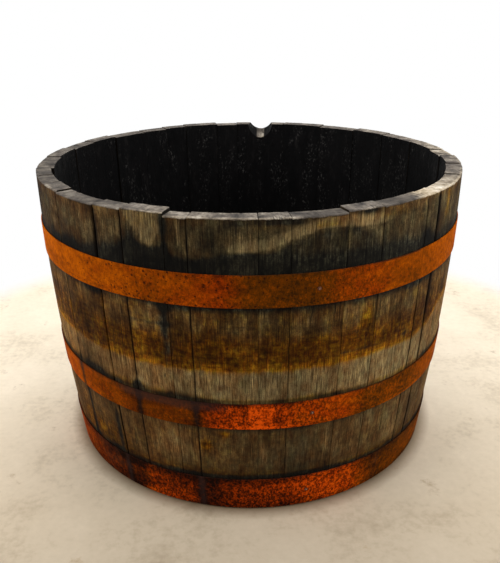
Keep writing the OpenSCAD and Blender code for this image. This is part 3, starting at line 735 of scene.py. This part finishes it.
def oak_material():
    """The staves: stained wood outside, grey sawn ends and a charred inside."""
    m = Net("weathered_oak")
    m.place = m.attribute("grain", "Vector")
    dark, warm, pale, tone = m.channels("stain")
    end, char, dirt, arris = m.channels("face")

    fine = m.noise((1000, 60, 26), 4, .62)
    broad = m.noise((230, 40, 10), 3, .55)
    fibre = m.noise((2300, 200, 80), 3)
    speck = m.noise((560, 60, 420), 4, .7)
    grime = m.noise((200, 60, 125), 4, .65)
    blotch = m.noise((75, 40, 42))
    cloudy = m.noise((24, 20, 15), 3, .55)
    finger = m.noise((560, 60, 38), 3)
    streak = m.blend((fine, .28), (fibre, .14), (broad, .12), (speck, .18), (grime, .15), (blotch, .13))
    streak = m.ease(m.vary(streak, cloudy, .3), .365, .635)
    greyness, calm = m.channels("grey")[:2]
    streak = m.math("MULTIPLY_ADD", m.add(streak, -.5), m.math("SUBTRACT", 1.0, calm), .5)
    even = m.blend((fine, .42), (fibre, .24), (broad, .1), (speck, .12), (blotch, .06), (cloudy, .06))
    even = m.ease(even, .375, .625)

    plain = m.ramp(streak, (0, 33, 22, 12), (.35, 62, 45, 25), (.65, 88, 66, 39), (1, 134, 106, 70))
    plain_grey = m.ramp(streak, (0, 26, 23, 16), (.35, 54, 48, 34), (.65, 80, 72, 52),
                        (1, 128, 117, 88))
    bleached = m.ramp(even, (0, 60, 42, 24), (.35, 98, 74, 46), (.68, 130, 103, 67),
                      (1, 178, 150, 106))
    bleached_grey = m.ramp(even, (0, 54, 48, 34), (.35, 92, 82, 60), (.68, 124, 113, 86),
                           (1, 172, 160, 126))
    grey = m.ease(m.add(greyness, m.blend((blotch, 1.4), (cloudy, 1.2), (.5, -2.6))), .1, .9)
    plain, bleached = m.mix(grey, plain, plain_grey), m.mix(grey, bleached, bleached_grey)
    paler = m.ease(m.add(pale, m.blend((finger, .5), (grime, .35), (.425, -1))), .2, .85)
    colour = m.mix(paler, plain, bleached)
    # A brown and ochre tide: the same grain seen through an iron-yellow stain
    warmer = m.ease(m.add(warm, m.blend((blotch, .6), (speck, .4), (finger, .5), (.75, -1))), .15, .9)
    ochre = m.mix(m.ease(grime, .4, .6), lin(255, 196, 80), lin(255, 222, 84))
    stained = m.times(colour, ochre)
    # Water lines: the tide dried level, in thin darker layers
    lines = m.blend((m.noise((38, 60, 190)), .5), (m.noise((130, 60, 120), 3), .5))
    layers = m.ramp(lines, (.37, 136, 118, 102), (.5, 206, 196, 178), (.62, 255, 255, 244))
    layered = m.times(stained, layers)
    stained = m.scaled(m.mix(m.ease(pale, .95, .6, (.45, 1.0)), stained, layered), (1.62, 1.95, 1.7))
    colour = m.mix(warmer, colour, stained)
    darker = m.ease(m.add(dark, m.blend((blotch, .5), (finger, .35), (speck, .25), (.55, -1))), .18, .95)
    patchy = m.noise((120, 60, 70), 3)
    patches = m.ramp(m.blend((patchy, .6), (blotch, .4)), (.36, 176, 168, 168), (.5, 224, 220, 217),
                     (.62, 255, 252, 246))
    colour = m.times(colour, patches)
    hue = m.noise((52, 40, 34))
    hue = m.ramp(hue, (.38, 255, 235, 206), (.5, 252, 242, 222), (.62, 243, 243, 224))
    colour = m.times(colour, hue)
    black = m.blend((streak, .85), (m.ease(grime, .38, .62), .15))
    black = m.ramp(black, (.1, 3, 3, 3), (.5, 11, 11, 9), (.75, 28, 28, 22), (1, 62, 61, 48))
    black = m.mix(m.mul(m.ease(dark, .9, 1.15), .65), black, lin(7, 7, 6))
    colour = m.mix(m.mul(darker, .96), colour, black)
    colour = m.scaled(colour, m.math("POWER", m.mul(tone, 1.04), 2.2))
    # Drying checks along the grain, and dirt in the seams
    check = m.noise((95, 12, 2.4), 2, .5)
    check = m.ease(m.math("ABSOLUTE", m.add(check, -.47)), .002, .012, (1, 0))
    check = m.mul(check, m.ease(blotch, .45, .6))
    colour = m.mix(m.mul(check, .7), colour, lin(20, 15, 10))
    seam = m.ease(m.vary(dirt, finger, .5), .18, .8)
    colour = m.mix(m.mul(seam, .9), colour, lin(15, 11, 8))

    # The sawn rim: grey weathered end grain with a worn cream arris
    rings = m.noise((520, 60, 60))
    cloud = m.noise((42, 42, 42), 3, .55)
    mottle = m.noise((210, 160, 210))
    ends = m.ramp(m.blend((rings, .12), (mottle, .2), (cloud, .68)), (.34, 52, 49, 46),
                  (.46, 92, 85, 78), (.54, 118, 109, 99), (.68, 154, 145, 131))
    cream = m.ramp(m.blend((rings, .12), (mottle, .35), (cloud, .53)), (.34, 130, 112, 86),
                   (.48, 196, 178, 150), (.62, 232, 222, 204))
    worn = m.blend((pale, .9), (arris, .15), (mottle, .35), (cloud, .5), (.425, -1))
    ends = m.mix(m.ease(worn, .35, 1.0), ends, cream)
    split = m.noise((70, 6, 6), 2, .5)
    split = m.ease(m.math("ABSOLUTE", m.add(split, -.5)), .002, .011, (1, 0))
    ends = m.mix(m.mul(split, m.ease(cloud, .4, .6, (0.0, .75))), ends, lin(26, 21, 18))
    ends = m.scaled(ends, m.ease(pale, 0, .45, (.62, 1.0)))
    colour = m.mix(m.ease(m.vary(end, finger, .8), .35, .65), colour, ends)

    # The charred inside
    soot = m.noise((120, 60, 55), 4, .65)
    flake = m.noise((60, 60, 9))
    burnt = m.ramp(m.blend((soot, .5), (flake, .5)), (.35, 4, 4, 4), (.56, 9, 8, 8),
                   (.68, 24, 22, 21), (.8, 66, 60, 54))
    ash = m.mul(m.ease(m.noise((260, 200, 170), 5, .7), .53, .68),
                m.ease(m.noise((34, 40, 13), 3), .48, .6))
    burnt = m.mix(m.mul(ash, .62), burnt, lin(78, 75, 72))
    charred = m.ease(char, .2, .6)
    colour = m.mix(charred, colour, burnt)

    rough = m.ease(streak, 0, 1, (.92, .76))
    rough = m.math("MULTIPLY_ADD", charred, m.mul(flake, -.2), rough)
    relief = m.blend((fine, .45), (fibre, .2), (broad, .35), (check, -.8), (m.mul(charred, soot), 1.6),
                     (m.mul(end, mottle), .9))
    return m.finish(colour, rough, m.bump(relief, .0011, .8), .06)


def rust_material():
    """The hoops: rust from dark brown through red and yellow to orange, scabby and pitted."""
    m = Net("rusted_steel")
    m.place = m.attribute("strip", "Vector")
    hot, yellow, pit, grime = m.channels("rust")
    crust, cold = m.channels("crust")[:2]
    fine = m.noise((620, 620, 580), 5, .62)
    mid = m.noise((170, 170, 150))
    patch = m.noise((34, 34, 48))
    blob = m.noise((150, 150, 128), 4, .6, .4)
    grain = m.noise((340, 340, 280), 3, .6, .5)
    scab = m.mul(m.add(m.ease(m.blend((blob, .5), (grain, .5)), .42, .57), -.55), m.mul(crust, .4))
    # hot carries the bright field: how orange the rust is, with painted side light in it
    level = m.add(hot, m.blend((fine, .56), (mid, .56), (scab, 1), (patch, .56), (.83, -1)))
    yellowish = m.ramp(level, (.05, 20, 10, 4), (.3, 60, 32, 5), (.5, 93, 46, 2), (.7, 136, 62, 1),
                       (.95, 184, 90, 1))
    reddish = m.ramp(level, (.05, 22, 9, 5), (.3, 66, 22, 4), (.5, 104, 35, 2), (.7, 160, 54, 2),
                     (.95, 226, 84, 10))
    colour = m.mix(m.ease(m.vary(yellow, patch, .9), .15, .85), reddish, yellowish)
    purple = m.ease(m.vary(cold, patch, 1.2), .2, 1.0)
    colour = m.mix(m.mul(purple, .5), colour, lin(58, 40, 36))
    # Corrosion pits: dark pocks one to three millimetres across
    cell = m.tree.nodes.new("ShaderNodeTexVoronoi")
    wobble = {"Vector": m.scaled(m.place, (420, 420, 420)), "Scale": 1.0, "Detail": 2.0}
    wobble = m.node("TexNoise", "Color", wobble)
    spot = m.node("VectorMath", 0, {0: wobble, 1: (.5, .5, .5), 2: m.scaled(m.place, (175, 175, 165))},
                  operation="MULTIPLY_ADD")
    m.put(cell.inputs["Vector"], spot)
    cell.inputs["Scale"].default_value = 1.0
    chance = m.node("SeparateColor", 0, {0: cell.outputs["Color"]})
    chosen = m.ease(m.math("SUBTRACT", pit, chance), -.02, .04)
    size = m.math("MULTIPLY_ADD", chance, .2, .15)
    pock = m.mul(chosen, m.ease(m.math("SUBTRACT", size, cell.outputs["Distance"]), -.06, .08))
    colour = m.mix(m.mul(pock, .82), colour, lin(50, 19, 8))
    dirty = m.ease(m.vary(grime, mid, .8), .35, 1)
    colour = m.mix(m.mul(dirty, .8), colour, lin(38, 24, 18))
    relief = m.blend((fine, .5), (mid, .5), (pock, -.7))
    rough = m.ease(fine, .3, .7, (.78, .95))
    return m.finish(colour, rough, m.bump(relief, .0009, .85), .02)


def place_material(name, scale, stops, rough, depth, specular):
    """A material for a CAD node, whose texture lies by its place in the frame."""
    m = Net(name)
    m.place = m.node("TexCoord", "Object")
    finer = tuple(5 * s for s in scale)
    level = m.blend((m.noise(scale), .6), (m.noise(finer, 3), .4))
    colour = m.ramp(level, *stops)
    return m.finish(colour, m.ease(level, .3, .7, rough), m.bump(level, depth), specular)


def nail_material():
    """Rusted nail heads, with a pale crown that is partly worn bare metal and partly a painted highlight.
    """
    m = Net("nail_steel")
    m.place, normal = m.node("TexCoord", "Object"), m.node("TexCoord", "Normal")
    grain = m.noise((900, 900, 900), 3)
    outwards = m.node("VectorMath", 0, {0: m.scaled(m.place, (1, 1, 0))}, operation="NORMALIZE")
    crown = m.node("VectorMath", "Value", {0: normal, 1: outwards}, operation="DOT_PRODUCT")
    # Where the head faces straight out it is made pale: worn metal together with a painted highlight
    worn = m.ease(m.vary(crown, grain, .08), .965, 1.0)
    rusty = m.ramp(grain, (.35, 40, 18, 7), (.6, 96, 44, 12))
    colour = m.mix(worn, rusty, lin(196, 168, 140))
    return m.finish(colour, .7, m.bump(grain, .0002), .3)


def board_material(name, shift, tone, x_low, x_high):
    """A head board: grain along Y, soot and dirt on the upper face, grey-brown wood below."""
    m = Net(name)
    place = m.node("TexCoord", "Object")
    m.place = m.node("VectorMath", 0, {0: place, 1: (0, shift, 0)}, operation="ADD")
    fine = m.noise((700, 9, 200))
    broad = m.noise((160, 5, 60), 3, .55)
    blotch = m.noise((22, 14, 22))
    streak = m.ease(m.blend((fine, .6), (broad, .4)), .34, .66)
    wood = m.ramp(streak, (0, 40, 31, 22), (.5, 78, 62, 44), (1, 124, 104, 78))
    soot = m.ramp(m.blend((streak, .5), (blotch, .5)), (.2, 7, 7, 7), (.5, 17, 15, 14),
                  (.85, 50, 44, 38))
    height = m.node("SeparateXYZ", "Z", {0: place})
    upper = m.ease(m.vary(height, blotch, .006), .036, .042)
    colour = m.scaled(m.mix(upper, wood, soot), (tone, tone, tone))
    across = m.node("SeparateXYZ", "X", {0: place})
    to_joint = m.math("MINIMUM", m.add(across, -x_low), m.math("SUBTRACT", x_high, across))
    joint = m.mul(m.ease(to_joint, .0006, .0045, (1, 0)), m.ease(broad, .3, .6, (.45, .9)))
    colour = m.mix(joint, colour, lin(10, 8, 7))
    relief = m.blend((streak, .6), (blotch, .4), (joint, -.5))
    return m.finish(colour, m.ease(streak, 0, 1, (.92, .78)), m.bump(relief, .0012), .22)


# ---- the planter ----

oak, rust = oak_material(), rust_material()
total_width = sum(STAVE_W)
start = BUNG_ANGLE - 180 * STAVE_W[0] / total_width
for i, stave_width in enumerate(STAVE_W):
    span = 360 * stave_width / total_width
    make_stave(i, start, span, oak)
    start += span
for hoop in HOOPS:
    make_hoop(hoop, rust)

dowels = place_material("dowel_wood", (60, 400, 400), ((.3, 120, 88, 52), (.7, 188, 150, 98)),
                        (.6, .8), .0004, .3)
rivets = place_material("rivet_steel", (420, 420, 420),
                        ((.32, 34, 17, 12), (.5, 92, 42, 12), (.68, 150, 70, 12)),
                        (.75, .95), .0006, .2)
dress = {"head_dowels": dowels, "hoop_rivets": rivets, "hoop_nails": nail_material()}
for i, tone in enumerate(BOARD_TONE):
    name = f"head_board_{i + 1}"
    across = [corner[0] for corner in nodes[name].bound_box]
    dress[name] = board_material(f"head_oak_{i + 1}", 1.7 * i, tone, min(across), max(across))
for name, material in dress.items():
    for slot in nodes[name].material_slots:
        slot.material = material

# ---- floor, light and camera ----

def seen_direct(tree):
    """1 for rays from the camera, straight or by way of a mirror or glass, and 0 for the rest."""
    path = tree.nodes.new("ShaderNodeLightPath")
    total = path.outputs["Is Camera Ray"]
    for kind in ("Is Glossy Ray", "Is Transmission Ray"):
        both = tree.nodes.new("ShaderNodeMath")
        both.operation = "MAXIMUM"
        tree.links.new(total, both.inputs[0])
        tree.links.new(path.outputs[kind], both.inputs[1])
        total = both.outputs[0]
    return total


def floor_material(name, near, far):
    """Pale concrete, darker and greyer in front as painted falloff of light, that fades to the white of
    the background at a distance.
    """
    m = Net(name)
    m.place = m.node("TexCoord", "Object")
    cloud = m.noise((5, 5, 5), 5, .6)
    grit = m.noise((90, 90, 90))
    stains = m.noise((14, 14, 14), 5, .65)
    # The colour darkens towards the front by depth: painted falloff of light, not the concrete's own tone
    depth = m.node("SeparateXYZ", "Y", {0: m.place})
    tint = m.ramp(m.add(depth, .5), (.03, 196, 181, 158), (.2, 212, 196, 171),
                  (.42, 238, 223, 198), (.6, 250, 236, 212), (1, 252, 238, 214))
    mottle = m.ramp(m.blend((cloud, .5), (grit, .25), (stains, .25)), (.36, 218, 214, 208),
                    (.48, 246, 245, 243), (.6, 255, 255, 255))
    tint = m.times(tint, mottle)
    spots = m.mul(m.ease(stains, .6, .72), m.ease(grit, .35, .6))
    tint = m.mix(m.mul(spots, .55), tint, lin(150, 122, 84))
    away = m.node("VectorMath", "Value", {0: m.place}, operation="LENGTH")
    # Painted contact shadow round the foot: the floor's colour is darkened in a ring where the tub stands
    tint = m.times(tint, m.ramp(away, (.3, 150, 136, 120), (.325, 255, 255, 255)))
    m.finish(tint, m.ease(grit, .3, .7, (.8, .95)), m.bump(grit, .0006, .3), .15)
    fade = m.ease(m.vary(away, stains, .03), near, far)
    white = m.tree.nodes.new("ShaderNodeEmission")
    both = m.tree.nodes.new("ShaderNodeMixShader")
    m.put(both.inputs[0], m.mul(fade, seen_direct(m.tree)))
    m.tree.links.new(m.bsdf.outputs[0], both.inputs[1])
    m.tree.links.new(white.outputs[0], both.inputs[2])
    m.tree.links.new(both.outputs[0], m.tree.nodes["Material Output"].inputs[0])
    return m.mat


FLOOR_HALF = 9.0
FADE_FROM, FADE_TO = .73, .84
floor_mesh = bpy.data.meshes.new("floor")
corners = [(x * FLOOR_HALF, y * FLOOR_HALF, 0) for x, y in ((-1, -1), (1, -1), (1, 1), (-1, 1))]
floor_mesh.from_pydata(corners, [], [(0, 1, 2, 3)])
floor_mesh.materials.append(floor_material("floor_concrete", FADE_FROM, FADE_TO))
floor = bpy.data.objects.new("floor", floor_mesh)
bpy.context.scene.collection.objects.link(floor)


def area_light(name, place, target, size, power):
    """A rectangular lamp that faces the target."""
    data = bpy.data.lights.new(name, "AREA")
    data.shape, data.size, data.size_y, data.energy = "RECTANGLE", size[0], size[1], power
    light = bpy.data.objects.new(name, data)
    aim = (Vector(target) - Vector(place)).normalized()
    light.rotation_euler = aim.to_track_quat("-Z", "Y").to_euler()
    light.location = place
    bpy.context.scene.collection.objects.link(light)


area_light("key_left", (-2.0, -.85, 1.3), (0, 0, .25), (1.6, 1.4), 34)
area_light("key_right", (2.0, -.85, 1.3), (0, 0, .25), (1.6, 1.4), 34)
area_light("top", (0, .5, 2.4), (0, 0, .3), (2.2, 1.8), 26)
area_light("back", (0, 2.2, 1.4), (0, 0, .25), (2.2, 1.2), 20)

scene = bpy.context.scene
world = bpy.data.worlds.new("studio")
world.use_nodes = True
tree = world.node_tree
tree.nodes.clear()
sky, white = tree.nodes.new("ShaderNodeBackground"), tree.nodes.new("ShaderNodeBackground")
sky.inputs[0].default_value, sky.inputs[1].default_value = lin(246, 247, 250), .42
white.inputs[0].default_value, white.inputs[1].default_value = (1, 1, 1, 1), 1.0
seen = tree.nodes.new("ShaderNodeMixShader")
out = tree.nodes.new("ShaderNodeOutputWorld")
tree.links.new(seen_direct(tree), seen.inputs[0])
tree.links.new(sky.outputs[0], seen.inputs[1])
tree.links.new(white.outputs[0], seen.inputs[2])
tree.links.new(seen.outputs[0], out.inputs[0])
scene.world = world
scene.view_settings.view_transform = "Standard"

# The photo's camera, from the rim's ellipse, the hoop edges and the foot
CAMERA_PLACE, FOCAL_LENGTH, SENSOR = (0, -1.0766, .6854), 43.06, 36
PITCH, ROLL = 22.84, .39
lens = bpy.data.cameras.new("photo_camera")
lens.sensor_width, lens.lens = SENSOR, FOCAL_LENGTH
camera = bpy.data.objects.new("photo_camera", lens)
camera.matrix_world = (Matrix.Translation(CAMERA_PLACE)
                       @ Matrix.Rotation(math.radians(90 - PITCH), 4, "X")
                       @ Matrix.Rotation(math.radians(-ROLL), 4, "Z"))
scene.collection.objects.link(camera)
scene.camera = camera
